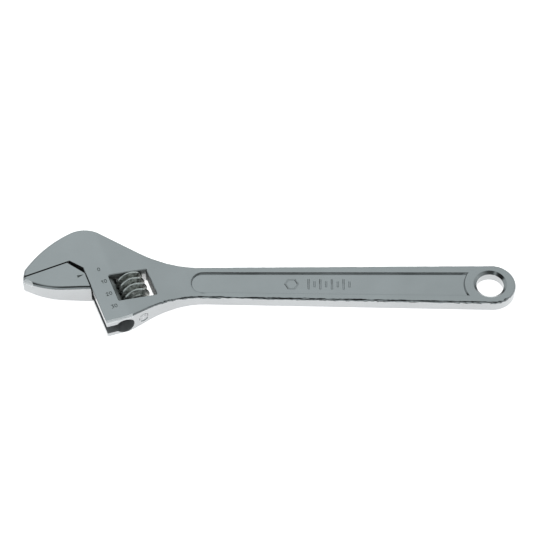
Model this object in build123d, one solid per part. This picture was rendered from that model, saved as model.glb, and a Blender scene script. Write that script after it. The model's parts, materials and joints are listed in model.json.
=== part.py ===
from build123d import *

import os
from math import cos, pi, radians, sin, tan

# Adjustable wrench of the 300 mm class: a forged body with the fixed jaw, a sliding jaw on a
# keyhole rail, a worm that drives the rail's rack, the worm's pin and the worm's spring.
#
# All sizes are millimetres. The drawing frame has its origin at the centre of the hanging hole:
# +X runs along the handle to its end, +Y to the back of the fixed jaw, and z = 0 is the middle
# of the thickness. The finished parts are moved together so that the origin is under the middle
# of the whole wrench, on the surface that it lies on.
#
# The head has its own two directions: u runs along the jaws into the throat, and v is the way
# that the jaw opens. Both start where the closed jaws' line meets the slide face.

# Handle
HANDLE_THICKNESS = 8.5
HANDLE_END_X = 16.0
HANDLE_END_HALF_WIDTH = 15.0
HANDLE_END_RADIUS = 14.7
RIM_RADIUS = 1.8

# Hanging hole
HANG_HOLE_RADIUS = 8.4
HANG_HOLE_FLARE_RUN = 1.9
HANG_HOLE_FLARE_DROP = 1.6

# Panels sunk into both faces of the handle
PANEL_DEPTH = 1.6
PANEL_DRAFT = 30.0
PANEL_LEFT_X = -184.0
PANEL_LEFT_HALF_WIDTH = 6.9
PANEL_RIGHT_X = -9.0
PANEL_RIGHT_HALF_WIDTH = 8.0
PANEL_HOLE_GAP_RADIUS = 16.4
PANEL_END_FLAT = 0.6
PANEL_EDGE_RUN = 0.6
PANEL_EDGE_DROP = 0.3

# Raised size mark on the panel's floor
MARK_HEIGHT = 0.4
MARK_STROKE = 1.3
MARK_DRAFT = 45.0
MARK_NUT_X = -122.5
MARK_NUT_RADIUS = 4.6
MARK_BAR_X = -112.0
MARK_BAR_STEP = 3.6
MARK_BAR_COUNT = 8
MARK_BAR_LONG = 8.0
MARK_BAR_SHORT = 4.6

# Head
HEAD_ANGLE = 21.7
HEAD_ORIGIN = (-254.4, 15.5)
HEAD_THICKNESS = 15.8
TIP_U = -36.9
TIP_THICKNESS = 11.5
JAW_BEND_U = -2.0
HEAD_BEND_U = 15.5
NECK_SLOPE = 5.0
JAW_BEND_RADIUS = 120.0
HEAD_BEND_RADIUS = 30.0
NECK_BEND_RADIUS = 220.0
THROAT_U = -6.4
THROAT_V = 8.6
SLIDE_END_V = 53.4
LOWER_CORNER = (14.0, 54.3)
LOWER_CORNER_RADIUS = 10.0
INNER_EDGE = 0.35

# Back of the head and the two necks, in the drawing frame, each with its rounding
FAR_NECK = ((-199.6, 11.7), 80.0)
CROWN = ((-253.1, 41.3), 18.2)
JAW_BACK = ((-278.3, 24.3), 71.0)
NOSE = ((-288.3, 7.6), 2.0)
NEAR_NECK = ((-194.0, -11.6), 62.0)

# Keyhole channel for the rail
RAIL_U = 11.4
RAIL_RADIUS = 5.9
RAIL_WEB = 6.6
RAIL_CLEARANCE = 0.1
RAIL_START_V = 2.0
RAIL_END_V = 44.0
RAIL_WEB_SETBACK = 1.2
CHANNEL_START_V = 1.2
SLOT_START_V = 11.2

# Window for the worm
WINDOW_LEFT_U = 12.5
WINDOW_RIGHT_U = 36.2
WINDOW_LEFT_V = (19.3, 40.0)
WINDOW_RIGHT_V = (22.0, 42.6)
WINDOW_CORNER_RADIUS = 0.8
WINDOW_EDGE = 0.45

# Worm
WORM_U = 24.0
WORM_V = 30.8
WORM_CREST_V = 29.1
WORM_LENGTH = 18.0
WORM_RADIUS = 9.25
WORM_ROOT_RADIUS = 6.35
WORM_PITCH = 4.6
WORM_CREST = 1.1
WORM_FLANK = 20.0
WORM_EDGE = 0.25
WORM_THREAD_TURNS = 6
WORM_THREAD_ROOT = 0.6
WORM_END_CHAMFER = 0.7
WORM_RUNNING_FIT = 0.08

# Rack teeth on the rail
RACK_CLEARANCE = 0.14
RACK_FLOOR_U = WORM_U - WORM_RADIUS - RACK_CLEARANCE
RACK_MESH_RADIUS = 8.5
RACK_HALF_WIDTH = 8.0
RACK_FIRST_SPACE = -6
RACK_LAST_SPACE = 2

# Worm pin
PIN_RADIUS = 2.5
PIN_HEAD_RADIUS = 3.0
PIN_START_V = 12.0
PIN_HEAD_V = 45.0
PIN_INSET = 0.25
PIN_CHAMFER = 0.35
PIN_FIT = 0.03
PIN_COUNTERSINK = 0.5

# Worm spring, round the pin inside the worm's counterbore
SPRING_RADIUS = 3.55
SPRING_WIRE_RADIUS = 0.4
SPRING_START_V = 21.75
SPRING_PITCH = 1.4
SPRING_TURNS = 3.5
COUNTERBORE_RADIUS = 4.6
COUNTERBORE_DEPTH = 5.2

# Movable jaw
JAW_GAP = 0.4
JAW_SLIDE_GAP = 0.3
JAW_TIP_U = -37.3
JAW_BACK_CHAMFER_U = -8.0
JAW_SLIDE_START_V = 12.4
JAW_HEEL_V = 24.9
JAW_BELLY = (-26.4, 14.6)
JAW_BELLY_RADIUS = 52.0
JAW_NOSE = (-37.8, 3.2)
JAW_NOSE_RADIUS = 1.8
JAW_RIM_RADIUS = 2.8
JAW_RAIL_ROOT = 1.0

# Engraved index mark and opening scale
ENGRAVING_DEPTH = 0.3
SCALE_U = 8.4
SCALE_START_V = 13.0
SCALE_STEP = 10.0
SCALE_COUNT = 4
SCALE_STROKE = 0.4
DIGIT_SPACING = 2.1
DIGIT_HALF_WIDTH = 0.65
DIGIT_HALF_HEIGHT = 1.15
INDEX_MARK = ((-5.6, 12.4), (-5.6, 14.4), (-1.4, 13.4))

ALONG = Vector(cos(radians(HEAD_ANGLE)), sin(radians(HEAD_ANGLE)), 0)
OPENING = Vector(sin(radians(HEAD_ANGLE)), -cos(radians(HEAD_ANGLE)), 0)
HALF_HEAD = HEAD_THICKNESS / 2
HALF_HANDLE = HANDLE_THICKNESS / 2
PANEL_FLOOR_Z = HALF_HANDLE - PANEL_DEPTH

# REACH is longer than the wrench. A cut runs BEYOND a face so that it leaves no skin, points
# within NEAR of a line count as on it, and an edge that rises less than RIM_RISE from end to end
# lies in a face and isn't a corner between two walls.
REACH = 400.0
BEYOND = 2.0
NEAR = 0.1
RIM_RISE = 3.0


def head(u, v, z=0.0):
    """The point of the head at u along the jaws, v down the opening and z up."""
    return Vector(*HEAD_ORIGIN, z) + ALONG * u + OPENING * v


def across_opening(u, v, z=0.0):
    """A plane at a point of the head that looks along the opening, with u and z as its axes."""
    return Plane(origin=head(u, v, z), x_dir=ALONG, z_dir=OPENING)


def plate(points, radii, half_height):
    """A closed outline in plan with rounded corners, thickened evenly both ways."""
    outline = FilletPolyline(*points, radius=radii, close=True)
    return extrude(make_face(outline), amount=half_height, both=True)


def thickness_prism():
    """The space between the two faces: flat at the head, thinner to the tip and to the handle."""
    tip_slope = (HEAD_THICKNESS - TIP_THICKNESS) / 2 / (JAW_BEND_U - TIP_U)
    far_u = JAW_TIP_U - 2 * JAW_RIM_RADIUS
    far_z = HALF_HEAD - (JAW_BEND_U - far_u) * tip_slope
    neck_u = HEAD_BEND_U + (HALF_HEAD - HALF_HANDLE) / tan(radians(NECK_SLOPE))
    upper = [
        (far_u, far_z),
        (JAW_BEND_U, HALF_HEAD),
        (HEAD_BEND_U, HALF_HEAD),
        (neck_u, HALF_HANDLE),
        (REACH, HALF_HANDLE),
    ]
    lower = [(u, -z) for u, z in reversed(upper)]
    upper_radii = [0, JAW_BEND_RADIUS, HEAD_BEND_RADIUS, NECK_BEND_RADIUS, 0]
    radii = upper_radii + upper_radii[::-1]
    section = make_face(FilletPolyline(*upper, *lower, radius=radii, close=True))
    return extrude(across_opening(0, 0) * section, amount=REACH, both=True)


def wall_rims(solid, keep):
    """The edges where the walls whose middle passes the keep test meet the two faces."""
    rims = []
    for face in solid.faces():
        if abs(face.normal_at().Z) > 0.01 or not keep(face.center()):
            continue
        rims += [edge for edge in face.edges() if abs((edge @ 0 - edge @ 1).Z) < RIM_RISE]
    return rims


def head_place(point):
    """The u and v of a point."""
    offset = point - Vector(*HEAD_ORIGIN, 0)
    return offset.dot(ALONG), offset.dot(OPENING)


def is_inner_wall(point):
    """Whether a wall is the body's grip, throat or slide face."""
    u, v = head_place(point)
    return u < 0.5 and v > -0.5


def is_outer_wall(point):
    """Whether a wall is on the rest of the body's outside."""
    return not is_inner_wall(point)


def body_blank():
    """The forging's outside with its rims rounded."""
    corners = [
        ((HANDLE_END_X, HANDLE_END_HALF_WIDTH), HANDLE_END_RADIUS),
        FAR_NECK,
        CROWN,
        JAW_BACK,
        NOSE,
        (head(TIP_U, 0), 0),
        (head(THROAT_U, 0), 0),
        (head(0, THROAT_V), 0),
        (head(0, SLIDE_END_V), 0),
        (head(*LOWER_CORNER), LOWER_CORNER_RADIUS),
        NEAR_NECK,
        ((HANDLE_END_X, -HANDLE_END_HALF_WIDTH), HANDLE_END_RADIUS),
    ]
    points = [corner for corner, radius in corners]
    radii = [radius for corner, radius in corners]
    blank = plate(points, radii, HEAD_THICKNESS) & thickness_prism()
    blank = chamfer(wall_rims(blank, is_inner_wall), INNER_EDGE)
    return fillet(wall_rims(blank, is_outer_wall), RIM_RADIUS)


def panel_outline(grow):
    """The sunk panel's outline in plan, grown outwards all round."""
    half_left = PANEL_LEFT_HALF_WIDTH + grow
    half_right = PANEL_RIGHT_HALF_WIDTH + grow
    left_x = PANEL_LEFT_X - grow
    corners = [
        (PANEL_RIGHT_X, half_right),
        (left_x, half_left),
        (left_x, -half_left),
        (PANEL_RIGHT_X, -half_right),
    ]
    end_radius = half_left - PANEL_END_FLAT / 2
    outline = FilletPolyline(*corners, radius=[0, end_radius, end_radius, 0], close=True)
    return make_face(outline) - Circle(PANEL_HOLE_GAP_RADIUS - grow)


def panel_cut():
    """The sunk panel of the upper face: a flat floor, sloped walls and a flatter broken edge."""
    wall = PANEL_DEPTH - PANEL_EDGE_DROP
    spread = wall * tan(radians(PANEL_DRAFT))
    floor = Pos(0, 0, PANEL_FLOOR_Z) * panel_outline(0)
    shoulder = Pos(0, 0, PANEL_FLOOR_Z + wall) * panel_outline(spread)
    mouth_z = PANEL_FLOOR_Z + wall + 2 * PANEL_EDGE_DROP
    mouth = Pos(0, 0, mouth_z) * panel_outline(spread + 2 * PANEL_EDGE_RUN)
    sunk = loft([floor.face(), shoulder.face()], ruled=True)
    return sunk + loft([shoulder.face(), mouth.face()], ruled=True)


def size_mark():
    """A raised mark without letters: a nut's outline and a row of long and short bars."""
    nut = RegularPolygon(MARK_NUT_RADIUS, 6) - RegularPolygon(MARK_NUT_RADIUS - MARK_STROKE, 6)
    mark = Pos(MARK_NUT_X, 0) * nut
    for index in range(MARK_BAR_COUNT):
        length = MARK_BAR_SHORT if index % 2 else MARK_BAR_LONG
        mark += Pos(MARK_BAR_X + index * MARK_BAR_STEP, 0) * Rectangle(MARK_STROKE, length)
    return extrude(Pos(0, 0, PANEL_FLOOR_Z) * mark, amount=MARK_HEIGHT, taper=MARK_DRAFT)


def hang_hole():
    """The hanging hole, flared at both faces."""
    mouth = HANG_HOLE_RADIUS + 2 * HANG_HOLE_FLARE_RUN
    flare = Pos(0, 0, HALF_HANDLE) * Cone(HANG_HOLE_RADIUS, mouth, 2 * HANG_HOLE_FLARE_DROP)
    return Cylinder(HANG_HOLE_RADIUS, 2 * HANDLE_THICKNESS) + flare + mirror(flare, Plane.XY)


def keyhole(radius, web, slot_start_u, start_v, slot_start_v, end_v):
    """A rail's shape, or its channel's: a round bar along the opening with a flat web to u."""
    bar = extrude(across_opening(RAIL_U, start_v) * Circle(radius), amount=end_v - start_v)
    width = RAIL_U - slot_start_u
    section = across_opening(slot_start_u + width / 2, slot_start_v) * Rectangle(width, web)
    return bar + extrude(section, amount=end_v - slot_start_v)


def window_cut():
    """The worm's window."""
    corners = [
        head(WINDOW_LEFT_U, WINDOW_LEFT_V[0]),
        head(WINDOW_RIGHT_U, WINDOW_RIGHT_V[0]),
        head(WINDOW_RIGHT_U, WINDOW_RIGHT_V[1]),
        head(WINDOW_LEFT_U, WINDOW_LEFT_V[1]),
    ]
    return plate(corners, WINDOW_CORNER_RADIUS, HEAD_THICKNESS)


def window_rims(body):
    """The window's edges in the two faces."""
    rims = []
    for edge in body.edges():
        u, v = head_place(edge.center())
        inside_u = WINDOW_LEFT_U - NEAR < u < WINDOW_RIGHT_U + NEAR
        inside_v = WINDOW_LEFT_V[0] - NEAR < v < WINDOW_RIGHT_V[1] + NEAR
        level = abs((edge @ 0 - edge @ 1).Z) < RIM_RISE
        if inside_u and inside_v and level and abs(edge.center().Z) > HALF_HANDLE:
            rims.append(edge)
    return rims


def pin_mouth():
    """The plane of the head's lower wall where the pin's axis leaves it, looking outwards."""
    wall_start = head(*LOWER_CORNER)
    wall_end = Vector(*NEAR_NECK[0], 0)
    start_u, start_v = LOWER_CORNER
    end_u, end_v = head_place(wall_end)
    share = (WORM_U - start_u) / (end_u - start_u)
    place = wall_start + (wall_end - wall_start) * share
    along_wall = (wall_end - wall_start).normalized()
    return Plane(origin=place, x_dir=along_wall, z_dir=along_wall.cross(Vector(0, 0, 1)))


def pin_bores():
    """The pin's holes: a slim one above the window and a wide countersunk one below it."""
    slim = PIN_RADIUS + PIN_FIT
    wide = PIN_HEAD_RADIUS + PIN_FIT
    length = SLIDE_END_V - PIN_START_V + BEYOND
    bore = extrude(across_opening(WORM_U, PIN_START_V - PIN_FIT) * Circle(slim), amount=length)
    mouth = extrude(across_opening(WORM_U, PIN_HEAD_V) * Circle(wide), amount=SLIDE_END_V - PIN_HEAD_V)
    rim = Cone(wide, wide + 2 * PIN_COUNTERSINK, 2 * PIN_COUNTERSINK)
    return bore + mouth + pin_mouth() * rim


def stroke(start, end):
    """One round-ended stroke of a digit, in plan."""
    path = Line(start, end)
    place = Plane(origin=path @ 0.5, x_dir=path % 0, z_dir=(0, 0, 1))
    return place * SlotCenterToCenter(path.length, SCALE_STROKE)


def strokes(points):
    """Strokes that join the points one after another."""
    joined = stroke(points[0], points[1])
    for start, end in zip(points[1:], points[2:]):
        joined += stroke(start, end)
    return joined


def digit(number):
    """A digit from 0 to 3 as plain strokes round the origin."""
    right = DIGIT_HALF_WIDTH
    top = DIGIT_HALF_HEIGHT
    if number == 0:
        height = 2 * top + SCALE_STROKE
        width = 2 * right + SCALE_STROKE
        hollow = SlotOverall(height - 2 * SCALE_STROKE, width - 2 * SCALE_STROKE, rotation=90)
        return SlotOverall(height, width, rotation=90) - hollow
    if number == 1:
        return strokes([(-right / 2, top / 2), (right / 2, top), (right / 2, -top)])
    if number == 2:
        bow = [(-right, top / 2), (-right / 2, top), (right / 2, top), (right, top / 2)]
        return strokes(bow + [(-right, -top), (right, -top)])
    upper = [(-right, top), (right, top), (0, top / 4)]
    return strokes(upper + [(right, -top / 4), (right / 2, -top), (-right, -top)])


def opening_scale():
    """The numbers 0, 10, 20 and 30 beside the slide, each at its opening in millimetres."""
    marks = []
    for tens in range(SCALE_COUNT):
        digits = [tens, 0] if tens else [0]
        place = head(SCALE_U, SCALE_START_V + tens * SCALE_STEP, HALF_HEAD - ENGRAVING_DEPTH)
        plane = Plane(origin=place, x_dir=ALONG, z_dir=(0, 0, 1))
        for index, number in enumerate(digits):
            x = (index - (len(digits) - 1) / 2) * DIGIT_SPACING
            marks.append(extrude(plane * Pos(x, 0) * digit(number), amount=BEYOND))
    return marks


def wrench_body():
    """The forging: fixed jaw, head and handle in one piece, with everything cut into it."""
    body = body_blank()
    panel = panel_cut()
    channel = keyhole(
        RAIL_RADIUS + RAIL_CLEARANCE,
        RAIL_WEB + 2 * RAIL_CLEARANCE,
        -BEYOND,
        CHANNEL_START_V,
        SLOT_START_V,
        SLIDE_END_V + LOWER_CORNER_RADIUS,
    )
    body -= panel
    body -= mirror(panel, Plane.XY)
    body -= hang_hole()
    body -= window_cut()
    body = chamfer(window_rims(body), WINDOW_EDGE)
    body -= channel
    body -= pin_bores()
    for mark in opening_scale():
        body -= mark
    body += size_mark()
    return body


def rack_spaces():
    """The spaces between the rack's teeth, slanted to the worm's lead."""
    half_floor = WORM_CREST / 2 + RACK_CLEARANCE
    depth = RAIL_U + RAIL_RADIUS + BEYOND - RACK_FLOOR_U
    half_mouth = half_floor + depth * tan(radians(WORM_FLANK))
    slant = RACK_HALF_WIDTH * WORM_PITCH / (2 * pi * RACK_MESH_RADIUS)
    spaces = []
    for index in range(RACK_FIRST_SPACE, RACK_LAST_SPACE + 1):
        middle = WORM_CREST_V + index * WORM_PITCH
        section = [
            (RACK_FLOOR_U, -half_floor),
            (RACK_FLOOR_U + depth, -half_mouth),
            (RACK_FLOOR_U + depth, half_mouth),
            (RACK_FLOOR_U, half_floor),
        ]
        low = [head(u, middle + v + slant, -RACK_HALF_WIDTH) for u, v in section]
        lean = head(0, -2 * slant, 2 * RACK_HALF_WIDTH) - head(0, 0, 0)
        face = make_face(Polyline(*low, close=True))
        spaces.append(Solid.extrude(face.face(), lean))
    return spaces


def is_jaw_inner_wall(point):
    """Whether a wall is the jaw's grip, back chamfer or slide face."""
    u, v = head_place(point)
    on_grip = v < JAW_GAP + NEAR
    on_slide = u > -JAW_SLIDE_GAP - NEAR
    on_chamfer = u > JAW_BACK_CHAMFER_U and v < JAW_SLIDE_START_V
    return on_grip or on_slide or on_chamfer


def is_jaw_outer_wall(point):
    """Whether a wall is the jaw's belly, nose or end."""
    return not is_jaw_inner_wall(point)


def slide_jaw():
    """The movable jaw with its keyhole rail and the rack on the rail."""
    corners = [
        ((JAW_TIP_U, JAW_GAP), 0),
        ((JAW_BACK_CHAMFER_U, JAW_GAP), 0),
        ((-JAW_SLIDE_GAP, JAW_SLIDE_START_V), 0),
        ((-JAW_SLIDE_GAP, JAW_HEEL_V), 0),
        (JAW_BELLY, JAW_BELLY_RADIUS),
        (JAW_NOSE, JAW_NOSE_RADIUS),
    ]
    points = [head(*corner) for corner, radius in corners]
    radii = [radius for corner, radius in corners]
    jaw = plate(points, radii, HEAD_THICKNESS) & thickness_prism()
    jaw = fillet(wall_rims(jaw, is_jaw_outer_wall), JAW_RIM_RADIUS)
    jaw = chamfer(wall_rims(jaw, is_jaw_inner_wall), INNER_EDGE)
    jaw += keyhole(
        RAIL_RADIUS,
        RAIL_WEB,
        RAIL_WEB_SETBACK,
        RAIL_START_V,
        JAW_SLIDE_START_V,
        RAIL_END_V,
    )
    root = Rectangle(2 * (RAIL_WEB_SETBACK + JAW_RAIL_ROOT), RAIL_WEB)
    root_length = JAW_HEEL_V - JAW_RAIL_ROOT - JAW_SLIDE_START_V
    jaw += extrude(across_opening(0, JAW_SLIDE_START_V) * root, amount=root_length)
    for space in rack_spaces():
        jaw -= space
    mark = make_face(Polyline(*[head(*point) for point in INDEX_MARK], close=True))
    jaw -= extrude(Pos(0, 0, HALF_HEAD - ENGRAVING_DEPTH) * mark, amount=BEYOND)
    return jaw


def worm_thread():
    """The worm's thread: one right-handed helical ridge in the worm's own frame, overlong."""
    start = WORM_CREST_V - WORM_V - WORM_THREAD_TURNS * WORM_PITCH / 2
    root = WORM_ROOT_RADIUS - WORM_THREAD_ROOT
    spread = tan(radians(WORM_FLANK))
    half_root = WORM_CREST / 2 + (WORM_RADIUS - root) * spread
    half_shoulder = WORM_CREST / 2 + WORM_EDGE * spread
    half_top = WORM_CREST / 2 - WORM_EDGE
    section = Polyline(
        (root, start - half_root),
        (WORM_RADIUS - WORM_EDGE, start - half_shoulder),
        (WORM_RADIUS, start - half_top),
        (WORM_RADIUS, start + half_top),
        (WORM_RADIUS - WORM_EDGE, start + half_shoulder),
        (root, start + half_root),
        close=True,
    )
    length = WORM_THREAD_TURNS * WORM_PITCH
    path = Helix(WORM_PITCH, length, WORM_ROOT_RADIUS, center=(0, 0, start))
    return sweep(Plane.XZ * make_face(section), path=path, is_frenet=True)


def worm_end_cut():
    """What is turned off beyond the worm's end, with a bevel down its thread's corner."""
    outside = WORM_RADIUS + BEYOND
    profile = make_face(
        Polyline(
            (0, WORM_LENGTH / 2),
            (WORM_RADIUS - WORM_END_CHAMFER, WORM_LENGTH / 2),
            (outside, WORM_LENGTH / 2 - outside + WORM_RADIUS - WORM_END_CHAMFER),
            (outside, WORM_LENGTH),
            (0, WORM_LENGTH),
            close=True,
        )
    )
    return revolve(Plane.XZ * profile, Axis.Z)


def worm():
    """The worm: a coarse thread on a core, bored for the pin and counterbored for the spring."""
    end_cut = worm_end_cut()
    screw = Cylinder(WORM_ROOT_RADIUS, WORM_LENGTH + 2 * WORM_PITCH) + worm_thread()
    screw -= end_cut
    screw -= mirror(end_cut, Plane.XY)
    screw -= Cylinder(PIN_RADIUS + WORM_RUNNING_FIT, WORM_LENGTH + BEYOND)
    counterbore_z = (COUNTERBORE_DEPTH - WORM_LENGTH) / 2
    screw -= Pos(0, 0, counterbore_z) * Cylinder(COUNTERBORE_RADIUS, COUNTERBORE_DEPTH)
    return Plane(origin=head(WORM_U, WORM_V), x_dir=-ALONG, z_dir=OPENING) * screw


def worm_pin():
    """The worm's pin: a slim journal through the worm and a thicker end flush with the wall."""
    journal = across_opening(WORM_U, PIN_START_V) * Circle(PIN_RADIUS)
    end = across_opening(WORM_U, PIN_HEAD_V) * Circle(PIN_HEAD_RADIUS)
    pin = extrude(journal, amount=PIN_HEAD_V - PIN_START_V)
    pin += extrude(end, amount=SLIDE_END_V - PIN_HEAD_V)
    past_wall = pin_mouth().offset(-PIN_INSET) * Circle(HEAD_THICKNESS)
    pin -= extrude(past_wall, amount=HEAD_THICKNESS)
    return chamfer(pin.edges().filter_by(GeomType.ELLIPSE), PIN_CHAMFER)


def worm_spring():
    """The coil spring that takes up the worm's end play."""
    path = Helix(SPRING_PITCH, SPRING_TURNS * SPRING_PITCH, SPRING_RADIUS)
    start = Plane(origin=path @ 0, z_dir=path % 0)
    coil = sweep(start * Circle(SPRING_WIRE_RADIUS), path=path, is_frenet=True)
    place = Plane(origin=head(WORM_U, SPRING_START_V), x_dir=-ALONG, z_dir=OPENING)
    return place * coil


def build():
    """All parts by name, moved so that the origin is under the middle of the whole wrench."""
    parts = {
        "wrench_body": wrench_body(),
        "slide_jaw": slide_jaw(),
        "worm": worm(),
        "worm_pin": worm_pin(),
        "worm_spring": worm_spring(),
    }
    box = Compound(children=[Compound(part.solids()) for part in parts.values()]).bounding_box()
    middle = (box.min + box.max) / 2
    shift = Pos(-middle.X, -middle.Y, -box.min.Z)
    return {name: shift * part for name, part in parts.items()}, shift


PARTS, SHIFT = build()

os.makedirs("parts", exist_ok=True)
for part_name, part in PARTS.items():
    export_step(part, f"parts/{part_name}.step")
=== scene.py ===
import json
from math import cos, radians, sin

import bpy
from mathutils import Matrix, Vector

# The wrench lies on a white table and the camera looks down on it. Angles are in degrees,
# lengths in metres, and the lens and sensor in millimetres.
CAMERA_ELEVATION = 53.0
CAMERA_AZIMUTH = 0.44
CAMERA_DISTANCE = 1.3975
CAMERA_LENS = 147.3
CAMERA_SENSOR = 36.0
CAMERA_FAR = 20.0
AIM_FROM_HANG_HOLE = Vector((-0.13285, 0.0090, 0.0))

# Parts of the head in its own directions, from the worm's middle: u runs towards the handle,
# v is the way that the jaw opens, and z is up.
SLIDE_FACE_U = -0.0240
THROAT_U = (-0.0308, -0.0238)
THROAT_V = (-0.0311, -0.0217)
JAW_BACK_U = -0.0326
JAW_NOSE_U = -0.0565
GRIP_EDGE_V = (-0.0313, -0.0300)
CHANNEL_RADIUS = 0.00606
CHANNEL_U = (-0.02395, -0.00654)
CHANNEL_V = (-0.0300, 0.0224)
WINDOW_U = (-0.0115, 0.0122)
WINDOW_MIDDLE_V = 0.00015
WINDOW_HALF_V = 0.0125
BEVEL_END_U = -0.0075
BEVEL_START_V = 0.0200
FACE_Z = 0.0079
ENGRAVED_DEPTH = 0.0003
WORM_CREST_RADIUS = 0.00880
PANEL_HALF_WIDTH = 0.0100

# How near a polygon lies to a plane to count as on it
NEAR = 0.00004
WALL_MARGIN = 0.0001

# How much a normal points up: within these limits a polygon is a wall, level, a broken edge or
# part of a rounded rim.
WALL_Z = 0.2
LEVEL_Z = 0.999
EDGE_Z = (0.2, 0.9)
HANDLE_RIM_Z = (0.12, 0.985)
BEVEL_RIM_Z = (0.05, 0.985)
NOSE_RIM_Z = (0.1, 0.98)

# How much a normal lies along a direction: past these a polygon faces it or leans towards it
FACING = 0.5
LEANING = 0.3

# The angles in degrees past which an edge stays sharp and within which polygons are one plane,
# and how near two points lie to be joined
SMOOTH_ANGLE = 28.0
FLAT_ANGLE = 0.2
WELD_DISTANCE = 0.000002

# The materials of the body, the jaw and the worm, in order
CHROME, CHANNEL, WINDOW_SIDE, WINDOW_END, NUMBER, RIM, GAP_SHADE, BEVEL_HIGHLIGHT = range(8)
JAW_CHROME, JAW_RACK, JAW_GAP_SHADE, JAW_NUMBER, JAW_BEVEL_HIGHLIGHT = range(5)
CREST, GROOVE = range(2)

# Reflectances: each metal between a dark and a light colour
CHROME_COLOURS = ((0.478, 0.484, 0.49), (0.512, 0.518, 0.526))
# Near white: the ground rims carry a painted highlight along the edge
BEVEL_HIGHLIGHT_COLOURS = ((0.84, 0.85, 0.86), (0.95, 0.95, 0.96))
CHANNEL_COLOURS = ((0.19, 0.195, 0.2), (0.3, 0.305, 0.31))
# Near black: painted shade for the narrow gaps at the throat and the grip edges, not a colour of
# the steel
GAP_SHADE_COLOURS = ((0.015, 0.015, 0.016), (0.03, 0.031, 0.032))
RACK_COLOURS = ((0.13, 0.134, 0.132), (0.3, 0.305, 0.3))
CREST_COLOURS = ((0.55, 0.56, 0.54), (0.82, 0.83, 0.81))
GROOVE_COLOURS = ((0.16, 0.17, 0.15), (0.84, 0.85, 0.82))
PIN_COLOURS = ((0.34, 0.34, 0.35), (0.62, 0.63, 0.64))
SPRING_COLOURS = ((0.1, 0.1, 0.11), (0.34, 0.34, 0.36))
NUMBER_COLOURS = ((0.09, 0.1, 0.1), (0.22, 0.23, 0.23))
TABLE_COLOURS = ((0.86, 0.86, 0.86), (0.9, 0.9, 0.9))

# The window's walls are painted light by height: near white up to a height, a painted reflection of
# the white table, and painted shade above it, where they are also dull. The line between wanders by
# the spread.
PAINTED_LIT_WALL = (0.88, 0.885, 0.89)
SIDE_WALL_PAINTED_SHADE = (0.1, 0.108, 0.108)
END_WALL_PAINTED_SHADE = (0.2, 0.212, 0.206)
SIDE_WALL_LIT_TO = 0.0045
END_WALL_LIT_TO = 0.0112
SHADE_LINE_SPREAD = 0.0012

# The turn about z, in radians, of the grinding lines on the bevel
BEVEL_LINES_TURN = 0.3

# Light, as radiance where 1 is white
TABLE_SIZE = 8.0
TABLE_GLOW = 0.84
LAMP_PLACE = (0.2, -0.3, 1.6)
LAMP_SIZE = 1.6
LAMP_WATTS = 5.0
ROOM_TINT = (0.895, 1.0, 1.012, 1.0)
SIDE_SCREEN = (0.5, 0.5, 0.5, 1.0)
DOORWAY = (0.06, 0.06, 0.06, 1.0)

# The room's brightness by height, from the horizon at 0 to overhead at 1, behind the wrench and
# in front of it
ROOM_BACK = ((0.0, 0.37), (0.30, 0.51), (0.55, 0.66), (1.0, 0.68))
ROOM_FRONT = (
    (0.0, 0.05),
    (0.14, 0.06),
    (0.22, 0.64),
    (0.35, 0.58),
    (0.64, 0.40),
    (0.74, 0.02),
    (1.0, 0.02),
)

# Where the parts of the room begin and end, as x or y of the direction that they are seen in
BACK_Y = (-0.17, 0.02)
FALL_OFF_X = (-0.14, 0.14)
FALL_OFF = (1.04, 0.93)
SCREEN_X = (-0.2, -0.45)
DOORWAY_X = (-0.3, -0.5)
DOORWAY_BACK_Y = (0.2, 0.02)
DOORWAY_FRONT_Y = (-0.6, -0.42)


def record_joint(record, name):
    """One of the record's joints."""
    for joint in record["behaviour"]["joints"]:
        if joint["name"] == name:
            return joint
    raise ValueError(name)


def record_mount_place(record, name):
    """The place of one of the record's mounts."""
    for mount in record["mounts"]:
        if mount["name"] == name:
            return Vector(mount["pos_m"])
    raise ValueError(name)


def head_axes(record):
    """The worm's middle and the head's u and v directions."""
    joint = record_joint(record, "worm_spin")
    opening = Vector(joint["axis"])
    along = Vector((0, 0, 1)).cross(opening)
    return Vector(joint["pos_m"]), along, opening


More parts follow.
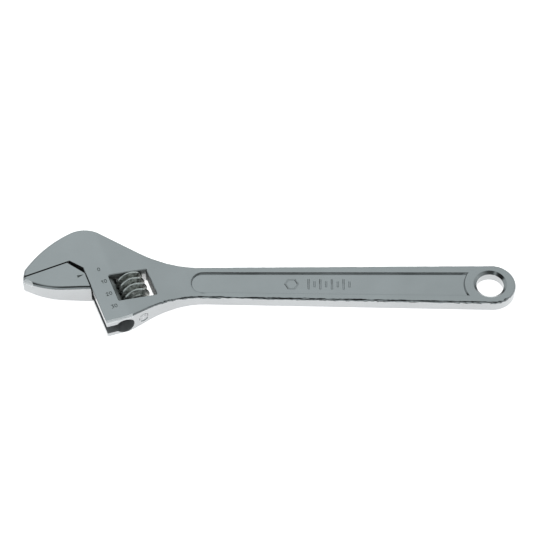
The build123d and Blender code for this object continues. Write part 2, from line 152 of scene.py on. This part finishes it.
class Paint:
    """A node material under construction."""

    def __init__(self, name):
        self.made = bpy.data.materials.new(name)
        self.made.use_nodes = True
        self.tree = self.made.node_tree
        self.shader = self.tree.nodes["Principled BSDF"]
        self.place = self.tree.nodes.new("ShaderNodeTexCoord").outputs["Object"]

    def node(self, kind, **values):
        """A new node with its inputs set by name."""
        node = self.tree.nodes.new(kind)
        for name, value in values.items():
            node.inputs[name.replace("_", " ")].default_value = value
        return node

    def link(self, source, target):
        """Joins two sockets."""
        self.tree.links.new(source, target)

    def stretched(self, turn, stretch):
        """Coordinates turned about z and stretched, so that noise on them makes brush lines."""
        mapping = self.node("ShaderNodeMapping", Rotation=(0, 0, turn), Scale=stretch)
        self.link(self.place, mapping.inputs["Vector"])
        return mapping.outputs["Vector"]

    def height(self):
        """The height above the table."""
        split = self.tree.nodes.new("ShaderNodeSeparateXYZ")
        self.link(self.place, split.inputs["Vector"])
        return split.outputs["Z"]

    def noise(self, scale, detail, place=None):
        """Noise from 0 to 1."""
        noise = self.node("ShaderNodeTexNoise", Scale=scale, Detail=detail)
        self.link(place or self.place, noise.inputs["Vector"])
        return noise.outputs["Fac"]

    def spread(self, source, low, high, start=0.3, end=0.7):
        """A number mapped from start..end to low..high."""
        mapped = self.node(
            "ShaderNodeMapRange", From_Min=start, From_Max=end, To_Min=low, To_Max=high
        )
        self.link(source, mapped.inputs["Value"])
        return mapped.outputs["Result"]

    def blend(self, source, first, second):
        """A colour between two by a number from 0 to 1."""
        mix = self.tree.nodes.new("ShaderNodeMix")
        mix.data_type = "RGBA"
        for socket in mix.inputs:
            if socket.name == "A" and socket.type == "RGBA":
                socket.default_value = (*first, 1.0)
            if socket.name == "B" and socket.type == "RGBA":
                socket.default_value = (*second, 1.0)
        self.link(source, mix.inputs[0])
        return [socket for socket in mix.outputs if socket.type == "RGBA"][0]

    def mottled(self, source, colours):
        """A colour between a dark and a light one by noise."""
        return self.blend(self.spread(source, 0.0, 1.0), *colours)

    def added(self, first, second):
        """The sum of two numbers."""
        add = self.tree.nodes.new("ShaderNodeMath")
        self.link(first, add.inputs[0])
        self.link(second, add.inputs[1])
        return add.outputs[0]

    def bump(self, height, strength, distance):
        """Raises the surface's shading by a height."""
        bump = self.node("ShaderNodeBump", Strength=strength, Distance=distance)
        self.link(height, bump.inputs["Height"])
        self.link(bump.outputs["Normal"], self.shader.inputs["Normal"])

    def metal(self, colour, roughness, metallic=1.0):
        """A metal surface with its colour and roughness from sockets."""
        self.shader.inputs["Metallic"].default_value = metallic
        self.link(colour, self.shader.inputs["Base Color"])
        self.link(roughness, self.shader.inputs["Roughness"])
        return self.made


def chrome(name, turn):
    """Satin chrome: slow waves of the forging, faint polishing lines and clouded shine."""
    paint = Paint(name)
    lines = paint.noise(scale=900.0, detail=2.0, place=paint.stretched(turn, (0.05, 1.0, 1.0)))
    clouds = paint.noise(scale=45.0, detail=4.0)
    waves = paint.noise(scale=60.0, detail=1.0)
    line_shine = paint.spread(lines, low=0.0, high=0.05)
    shine = paint.added(paint.spread(clouds, low=0.11, high=0.17), line_shine)
    height = paint.added(paint.spread(lines, low=0.0, high=0.04), waves)
    paint.bump(height, strength=0.35, distance=0.00022)
    return paint.metal(paint.mottled(clouds, CHROME_COLOURS), shine)


def ground_rim():
    """The handle's hand-ground round edges: chrome over short uneven facets."""
    paint = Paint("ground_rim")
    facets = paint.noise(scale=420.0, detail=2.0, place=paint.stretched(0.0, (0.3, 1.0, 1.0)))
    clouds = paint.noise(scale=90.0, detail=3.0)
    paint.bump(facets, strength=0.5, distance=0.0012)
    shine = paint.spread(clouds, low=0.08, high=0.14)
    return paint.metal(paint.mottled(clouds, CHROME_COLOURS), shine)


def painted_bevel_highlight():
    """Pale matt steel where a rim has been ground by hand, near white so that it also paints the
    highlight along the edge.
    """
    paint = Paint("painted_bevel_highlight")
    along_rim = paint.stretched(BEVEL_LINES_TURN, (0.1, 1.0, 1.0))
    lines = paint.noise(scale=1100.0, detail=2.0, place=along_rim)
    paint.bump(lines, strength=0.2, distance=0.0001)
    shine = paint.spread(lines, low=0.5, high=0.6)
    return paint.metal(paint.mottled(lines, BEVEL_HIGHLIGHT_COLOURS), shine, metallic=0.1)


def oiled_steel_and_gap_shade(name, colours):
    """Unplated milled steel under old oil; with the near-black colours it is painted shade for
    narrow gaps.
    """
    paint = Paint(name)
    cuts = paint.noise(scale=1200.0, detail=2.0, place=paint.stretched(0.0, (1.0, 0.1, 1.0)))
    blotches = paint.noise(scale=160.0, detail=4.0)
    paint.bump(cuts, strength=0.4, distance=0.0001)
    shine = paint.spread(blotches, low=0.5, high=0.7)
    return paint.metal(paint.mottled(blotches, colours), shine, metallic=0.1)


def window_wall(name, lit_to, shaded):
    """A milled wall of the window: near white up to a height as a painted reflection of the table,
    painted shade and duller above.
    """
    paint = Paint(name)
    cuts = paint.noise(scale=1500.0, detail=2.0, place=paint.stretched(0.0, (1.0, 1.0, 0.12)))
    blotches = paint.noise(scale=420.0, detail=4.0)
    uneven = paint.spread(blotches, low=-SHADE_LINE_SPREAD, high=SHADE_LINE_SPREAD)
    start = lit_to - SHADE_LINE_SPREAD
    end = lit_to + SHADE_LINE_SPREAD
    # The painted shade's share by height, its line wandering by noise
    shade = paint.spread(paint.added(paint.height(), uneven), low=0.0, high=1.0, start=start, end=end)
    paint.bump(cuts, strength=0.3, distance=0.0001)
    shine = paint.spread(shade, low=0.3, high=0.55, start=0.0, end=1.0)
    paint.shader.inputs["Specular IOR Level"].default_value = 0.2
    return paint.metal(paint.blend(shade, PAINTED_LIT_WALL, shaded), shine, metallic=0.25)


def rack_steel(turn):
    """The rail and its rack: unplated machined steel with cutter lines and faint oil stains."""
    paint = Paint("rack_steel")
    cuts = paint.noise(scale=1400.0, detail=2.0, place=paint.stretched(turn, (1.0, 0.08, 1.0)))
    blotches = paint.noise(scale=150.0, detail=4.0)
    paint.bump(cuts, strength=0.5, distance=0.00012)
    cut_shine = paint.spread(cuts, low=0.0, high=0.12)
    shine = paint.added(paint.spread(blotches, low=0.2, high=0.3), cut_shine)
    return paint.metal(paint.mottled(blotches, RACK_COLOURS), shine)


def worm_crest():
    """The worm's crests, rubbed bright by thumbs."""
    paint = Paint("worm_crest")
    wear = paint.noise(scale=500.0, detail=4.0)
    paint.bump(wear, strength=0.3, distance=0.00006)
    shine = paint.spread(wear, low=0.18, high=0.34)
    return paint.metal(paint.mottled(wear, CREST_COLOURS), shine)


def worm_groove():
    """The worm's flanks and grooves, turned steel with patches of oil."""
    paint = Paint("worm_groove")
    grime = paint.noise(scale=520.0, detail=5.0)
    grain = paint.noise(scale=1800.0, detail=2.0)
    paint.bump(grain, strength=0.4, distance=0.00008)
    shine = paint.spread(grime, low=0.34, high=0.5)
    return paint.metal(paint.mottled(grime, GROOVE_COLOURS), shine, metallic=0.8)


def pin_steel():
    """The pin's turned end, with a few dark spots."""
    paint = Paint("pin_steel")
    spots = paint.noise(scale=700.0, detail=4.0)
    paint.bump(spots, strength=0.35, distance=0.00006)
    shine = paint.spread(spots, low=0.2, high=0.36)
    return paint.metal(paint.mottled(spots, PIN_COLOURS), shine)


def spring_steel():
    """Dark drawn wire with a thin film of oil."""
    paint = Paint("spring_steel")
    film = paint.noise(scale=900.0, detail=3.0)
    paint.bump(film, strength=0.25, distance=0.00005)
    shine = paint.spread(film, low=0.22, high=0.4)
    return paint.metal(paint.mottled(film, SPRING_COLOURS), shine)


def etched_number():
    """The floor of the engraved numbers, dull and darker than the chrome."""
    paint = Paint("etched_number")
    grain = paint.noise(scale=2200.0, detail=3.0)
    paint.bump(grain, strength=0.5, distance=0.00008)
    shine = paint.spread(grain, low=0.4, high=0.6)
    return paint.metal(paint.mottled(grain, NUMBER_COLOURS), shine)


def assign(node, materials, choose):
    """Gives each of a node's polygons the material that choose returns the number of."""
    node.data.materials.clear()
    for made in materials:
        node.data.materials.append(made)
    for polygon in node.data.polygons:
        polygon.material_index = choose(polygon.center, polygon.normal)


def within(value, low_high, margin=0.0):
    """Whether a value is between two limits."""
    return low_high[0] - margin < value < low_high[1] + margin


def is_number_floor(offset, normal):
    """Whether a polygon is the floor of something engraved in the head's upper face."""
    return abs(offset.z - FACE_Z + ENGRAVED_DEPTH) < NEAR and normal.z > LEVEL_Z


def body_choice(middle, along, opening, hang):
    """Which of the body's materials each polygon takes."""

    def choose(center, normal):
        offset = center - middle
        u = offset.dot(along)
        v = offset.dot(opening)
        up = abs(normal.z)
        in_window = within(u, WINDOW_U, WALL_MARGIN) and abs(v - WINDOW_MIDDLE_V) < WINDOW_HALF_V
        if in_window and up < WALL_Z:
            return WINDOW_SIDE if abs(normal.dot(along)) > FACING else WINDOW_END
        in_channel = within(u, CHANNEL_U) and within(v, CHANNEL_V)
        if in_channel and abs(offset.z) < CHANNEL_RADIUS:
            return CHANNEL
        # The throat walls and the grip's broken edge are painted shade, black as the narrow gap
        # there
        if within(u, THROAT_U) and within(v, THROAT_V) and up < EDGE_Z[1]:
            return GAP_SHADE
        if u < THROAT_U[0] and within(v, GRIP_EDGE_V) and within(up, EDGE_Z):
            return GAP_SHADE
        if is_number_floor(offset, normal) and within(u, (SLIDE_FACE_U, WINDOW_U[0])):
            return NUMBER
        # The rim at the head's lower corner gets a painted highlight
        if u < BEVEL_END_U and v > BEVEL_START_V and within(up, BEVEL_RIM_Z):
            return BEVEL_HIGHLIGHT
        in_handle_edge = u > WINDOW_U[1] and abs(center.y - hang.y) > PANEL_HALF_WIDTH
        if in_handle_edge and within(up, HANDLE_RIM_Z):
            return RIM
        return CHROME

    return choose


def jaw_choice(middle, along, opening):
    """Which of the jaw's materials each polygon takes."""

    def choose(center, normal):
        offset = center - middle
        u = offset.dot(along)
        up = abs(normal.z)
        outwards = normal.dot(opening)
        if u > CHANNEL_U[0]:
            return JAW_RACK
        if is_number_floor(offset, normal):
            return JAW_NUMBER
        # The jaw nose's outer rim gets a painted highlight
        if u < JAW_NOSE_U and outwards > 0.0 and within(up, NOSE_RIM_Z):
            return JAW_BEVEL_HIGHLIGHT
        # The jaw's back and its grip's broken edge are painted shade, black as the narrow gap there
        if u > JAW_BACK_U and normal.dot(along) > LEANING:
            return JAW_GAP_SHADE
        in_grip_edge = within(offset.dot(opening), GRIP_EDGE_V) and within(up, EDGE_Z)
        if in_grip_edge and outwards < -LEANING:
            return JAW_GAP_SHADE
        return JAW_CHROME

    return choose


def worm_choice(middle, opening):
    """Which of the worm's materials each polygon takes."""

    def choose(center, normal):
        offset = center - middle
        radial = offset - opening * offset.dot(opening)
        return CREST if radial.length > WORM_CREST_RADIUS else GROOVE

    return choose


def smooth(node):
    """Smooth shading across the seams between a node's faces, sharp at its real edges."""
    for polygon in node.data.polygons:
        polygon.use_smooth = True
    weld = node.modifiers.new("weld", "WELD")
    weld.merge_threshold = WELD_DISTANCE
    flat = node.modifiers.new("flat", "DECIMATE")
    flat.decimate_type = "DISSOLVE"
    flat.angle_limit = radians(FLAT_ANGLE)
    flat.delimit = {"MATERIAL"}
    split = node.modifiers.new("split", "EDGE_SPLIT")
    split.split_angle = radians(SMOOTH_ANGLE)
    weighted = node.modifiers.new("weighted", "WEIGHTED_NORMAL")
    weighted.keep_sharp = True


def camera(target):
    """The camera, at the height and side from which the wrench is seen."""
    data = bpy.data.cameras.new("camera")
    data.lens = CAMERA_LENS
    data.sensor_width = CAMERA_SENSOR
    data.clip_end = CAMERA_FAR
    seen = bpy.data.objects.new("camera", data)
    up = radians(CAMERA_ELEVATION)
    turn = radians(CAMERA_AZIMUTH)
    back = Vector((sin(turn) * cos(up), -cos(turn) * cos(up), sin(up)))
    seen.location = target + back * CAMERA_DISTANCE
    seen.rotation_euler = (-back).to_track_quat("-Z", "Y").to_euler()
    bpy.context.scene.collection.objects.link(seen)
    bpy.context.scene.camera = seen


def table_floor():
    """The white table top, which glows so that it stays white under the wrench."""
    bpy.ops.mesh.primitive_plane_add(size=TABLE_SIZE, location=(0, 0, 0))
    made = bpy.context.object
    made.name = "table_floor"
    paint = Paint("white_table")
    grain = paint.noise(scale=30.0, detail=3.0)
    paint.link(paint.blend(grain, *TABLE_COLOURS), paint.shader.inputs["Base Color"])
    paint.shader.inputs["Roughness"].default_value = 0.7
    paint.shader.inputs["Emission Color"].default_value = (1, 1, 1, 1)
    paint.shader.inputs["Emission Strength"].default_value = TABLE_GLOW
    made.data.materials.append(paint.made)


def ramp(tree, height, stops):
    """A grey that depends on the height, through the stops of (height, brightness)."""
    made = tree.nodes.new("ShaderNodeValToRGB")
    elements = made.color_ramp.elements
    while len(elements) < len(stops):
        elements.new(0.5)
    for element, (place, bright) in zip(elements, stops):
        element.position = place
        element.color = (bright, bright, bright, 1.0)
    tree.links.new(height, made.inputs["Fac"])
    return made.outputs["Color"]


def share(tree, source, start_end, low_high=(0.0, 1.0)):
    """A number mapped smoothly from start..end to low..high."""
    mapped = tree.nodes.new("ShaderNodeMapRange")
    mapped.interpolation_type = "SMOOTHSTEP"
    names = ("From Min", "From Max", "To Min", "To Max")
    for name, value in zip(names, (*start_end, *low_high)):
        mapped.inputs[name].default_value = value
    tree.links.new(source, mapped.inputs["Value"])
    return mapped.outputs["Result"]


def mixed(tree, kind, amount, first, second):
    """Two colours mixed by the amount in the given way."""
    mix = tree.nodes.new("ShaderNodeMixRGB")
    mix.blend_type = kind
    for source, target in ((amount, 0), (first, 1), (second, 2)):
        if hasattr(source, "links"):
            tree.links.new(source, mix.inputs[target])
        else:
            mix.inputs[target].default_value = source
    return mix.outputs[0]


def room():
    """The room that the chrome mirrors: an evenly lit back, a bright band in front between a
    dark floor line and a dark ceiling, a grey screen to the left and a dark doorway in it."""
    world = bpy.data.worlds.new("room")
    world.use_nodes = True
    tree = world.node_tree
    background = tree.nodes["Background"]
    place = tree.nodes.new("ShaderNodeTexCoord")
    split = tree.nodes.new("ShaderNodeSeparateXYZ")
    tree.links.new(place.outputs["Generated"], split.inputs["Vector"])
    x, y, z = split.outputs

    behind = share(tree, y, BACK_Y)
    lit = mixed(tree, "MIX", behind, ramp(tree, z, ROOM_FRONT), ramp(tree, z, ROOM_BACK))
    lit = mixed(tree, "MULTIPLY", 1.0, lit, share(tree, x, FALL_OFF_X, FALL_OFF))
    lit = mixed(tree, "MIX", share(tree, x, SCREEN_X), lit, SIDE_SCREEN)
    door = share(tree, x, DOORWAY_X)
    door = mixed(tree, "MULTIPLY", 1.0, door, share(tree, y, DOORWAY_BACK_Y))
    door = mixed(tree, "MULTIPLY", 1.0, door, share(tree, y, DOORWAY_FRONT_Y))
    lit = mixed(tree, "MULTIPLY", door, lit, DOORWAY)
    tree.links.new(mixed(tree, "MULTIPLY", 1.0, lit, ROOM_TINT), background.inputs["Color"])
    bpy.context.scene.world = world


def soft_light(name, place, size, power):
    """A large soft lamp that lights the table but isn't mirrored in the chrome."""
    data = bpy.data.lights.new(name, "AREA")
    data.shape = "SQUARE"
    data.size = size
    data.energy = power
    lamp = bpy.data.objects.new(name, data)
    lamp.location = place
    lamp.rotation_euler = (-Vector(place)).to_track_quat("-Z", "Y").to_euler()
    lamp.visible_glossy = False
    bpy.context.scene.collection.objects.link(lamp)


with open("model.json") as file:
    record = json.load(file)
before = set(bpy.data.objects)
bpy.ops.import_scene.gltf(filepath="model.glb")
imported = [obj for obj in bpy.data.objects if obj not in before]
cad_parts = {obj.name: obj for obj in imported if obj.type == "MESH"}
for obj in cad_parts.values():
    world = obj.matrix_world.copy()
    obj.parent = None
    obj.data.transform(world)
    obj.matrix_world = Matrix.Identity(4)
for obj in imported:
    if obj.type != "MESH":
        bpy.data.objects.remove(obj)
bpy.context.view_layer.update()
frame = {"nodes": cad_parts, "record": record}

record = frame["record"]
nodes = frame["nodes"]
middle, along, opening = head_axes(record)
head_turn = along.to_2d().angle_signed(Vector((1, 0)), 0.0)
hang = record_mount_place(record, "hang_hole")

camera(hang + AIM_FROM_HANG_HOLE)
table_floor()
room()
soft_light("overhead", LAMP_PLACE, LAMP_SIZE, LAMP_WATTS)

forging = chrome("chrome_forging", 0.0)
jaw_chrome = chrome("chrome_jaw", head_turn)
channel = oiled_steel_and_gap_shade("dark_channel", CHANNEL_COLOURS)
# The gap material is painted shade, near black, not a colour of the steel
gap_shade = oiled_steel_and_gap_shade("painted_gap_shade", GAP_SHADE_COLOURS)
number = etched_number()
bevel_highlight = painted_bevel_highlight()
# Both window walls carry painted light: bright below, painted shade above
side_wall = window_wall("window_side", SIDE_WALL_LIT_TO, SIDE_WALL_PAINTED_SHADE)
end_wall = window_wall("window_end", END_WALL_LIT_TO, END_WALL_PAINTED_SHADE)

body_paints = [forging, channel, side_wall, end_wall, number, ground_rim(), gap_shade, bevel_highlight]
jaw_paints = [jaw_chrome, rack_steel(head_turn), gap_shade, number, bevel_highlight]
assign(nodes["wrench_body"], body_paints, body_choice(middle, along, opening, hang))
assign(nodes["slide_jaw"], jaw_paints, jaw_choice(middle, along, opening))
assign(nodes["worm"], [worm_crest(), worm_groove()], worm_choice(middle, opening))
assign(nodes["worm_pin"], [pin_steel()], lambda center, normal: 0)
assign(nodes["worm_spring"], [spring_steel()], lambda center, normal: 0)
for node in nodes.values():
    smooth(node)

bpy.context.scene.view_settings.view_transform = "Standard"
